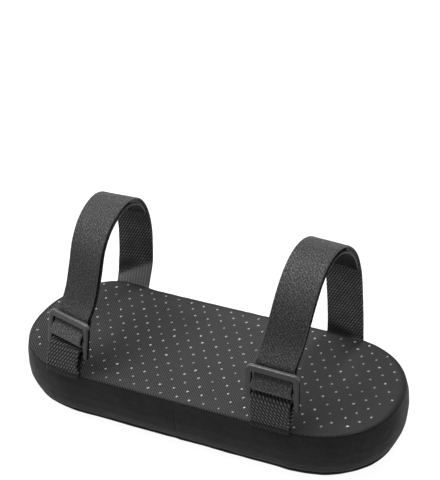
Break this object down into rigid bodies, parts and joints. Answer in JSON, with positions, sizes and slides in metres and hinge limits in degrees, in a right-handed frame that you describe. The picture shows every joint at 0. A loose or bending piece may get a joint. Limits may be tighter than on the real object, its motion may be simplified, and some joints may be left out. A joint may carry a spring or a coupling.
{
  "type": "chair armrest pad",
  "caption": "Oblong padded cover for a chair arm, with a foam core, a dotted gripping underside and webbing straps that close round the arm through three-bar slides.",
  "frame": {"origin": "middle of the cushion face, which lies on the ground at z = 0; the pad is stored upside down, with its gripping underside up and its straps standing in two loops, and is turned over by 180 degrees about X for use on a chair arm", "axes": "+X along the pad, +Y towards the long side where the straps are sewn in, -Y towards the side with the slides, +Z out of the gripping underside, towards the chair arm"},
  "size_m": [0.2522, 0.1145, 0.1224],
  "materials": {
    "velour": "black short-pile plush knit, very matt",
    "band_cloth": "black short-pile plush knit, very matt",
    "grip_cloth": "dark grey fine diagonal twill",
    "grip_dots": "small raised off-white rubber dots",
    "foam": "cream memory foam, open cell",
    "webbing": "dark grey woven webbing with a brushed outer face",
    "tab_webbing": "black coarse polypropylene webbing",
    "slide_plastic": "black moulded acetal, satin",
    "hook_tape": "black hook tape",
    "thread": "black sewing thread"
  },
  "bodies": {
    "pad": {"cushion_panel": "velour", "side_band_left": "band_cloth", "side_band_right": "band_cloth", "underside_panel": "grip_cloth", "foam_core": "foam", "left_strap_anchor": "webbing", "left_tab": "tab_webbing", "right_strap_anchor": "webbing", "right_tab": "tab_webbing"},
    "left_leg_link": {"left_strap_far_leg": "webbing"},
    "left_loop_link": {"left_strap_loop": "webbing", "left_tail": "webbing"},
    "left_slide_link": {"left_strap_turn": "webbing", "left_slide": "slide_plastic"},
    "left_tail_flap": {"left_tail_end": "webbing", "left_hook_patch": "hook_tape"},
    "right_leg_link": {"right_strap_far_leg": "webbing"},
    "right_loop_link": {"right_strap_loop": "webbing", "right_tail": "webbing"},
    "right_slide_link": {"right_strap_turn": "webbing", "right_slide": "slide_plastic"},
    "right_tail_flap": {"right_tail_end": "webbing", "right_hook_patch": "hook_tape"}
  },
  "joints": [
    {"name": "left_strap_lean", "type": "hinge", "parent": "pad", "child": "left_leg_link", "pos_m": [-0.08243, 0.05232, 0.0412], "axis": [0.9985, 0.0548, 0], "range_deg": [-12, 12], "stiffness_Nm_per_rad": 0.03},
    {"name": "left_loop_fold", "type": "hinge", "parent": "left_leg_link", "child": "left_loop_link", "pos_m": [-0.08278, 0.05871, 0.064], "axis": [0.9985, 0.0548, 0], "range_deg": [-15, 15]},
    {"name": "left_slide_fold", "type": "hinge", "parent": "left_loop_link", "child": "left_slide_link", "pos_m": [-0.0776, -0.03566, 0.07008], "axis": [0.9985, 0.0548, 0], "range_deg": [-15, 15]},
    {"name": "left_tail_peel", "type": "hinge", "parent": "left_loop_link", "child": "left_tail_flap", "pos_m": [-0.0801, 0.02317, 0.11182], "axis": [-0.9991, 0.0431, 0], "range_deg": [0, 50]},
    {"name": "right_strap_lean", "type": "hinge", "parent": "pad", "child": "right_leg_link", "pos_m": [0.0705, 0.04921, 0.0412], "axis": [0.9962, -0.0872, 0], "range_deg": [-12, 12], "stiffness_Nm_per_rad": 0.03},
    {"name": "right_loop_fold", "type": "hinge", "parent": "right_leg_link", "child": "right_loop_link", "pos_m": [0.07044, 0.04841, 0.066], "axis": [0.9962, -0.0872, 0], "range_deg": [-15, 15]},
    {"name": "right_slide_fold", "type": "hinge", "parent": "right_loop_link", "child": "right_slide_link", "pos_m": [0.06257, -0.04154, 0.07357], "axis": [0.9962, -0.0872, 0], "range_deg": [-15, 15]},
    {"name": "right_tail_peel", "type": "hinge", "parent": "right_loop_link", "child": "right_tail_flap", "pos_m": [0.06761, 0.01698, 0.11802], "axis": [-0.9975, 0.07, 0], "range_deg": [0, 50]}
  ],
  "couplings": [
    {"joint": "left_loop_fold", "follows": "left_strap_lean", "ratio": -1.0128},
    {"joint": "left_slide_fold", "follows": "left_strap_lean", "ratio": 1.0421},
    {"joint": "right_loop_fold", "follows": "right_strap_lean", "ratio": -1.0617},
    {"joint": "right_slide_fold", "follows": "right_strap_lean", "ratio": 1.1212}
  ]
}
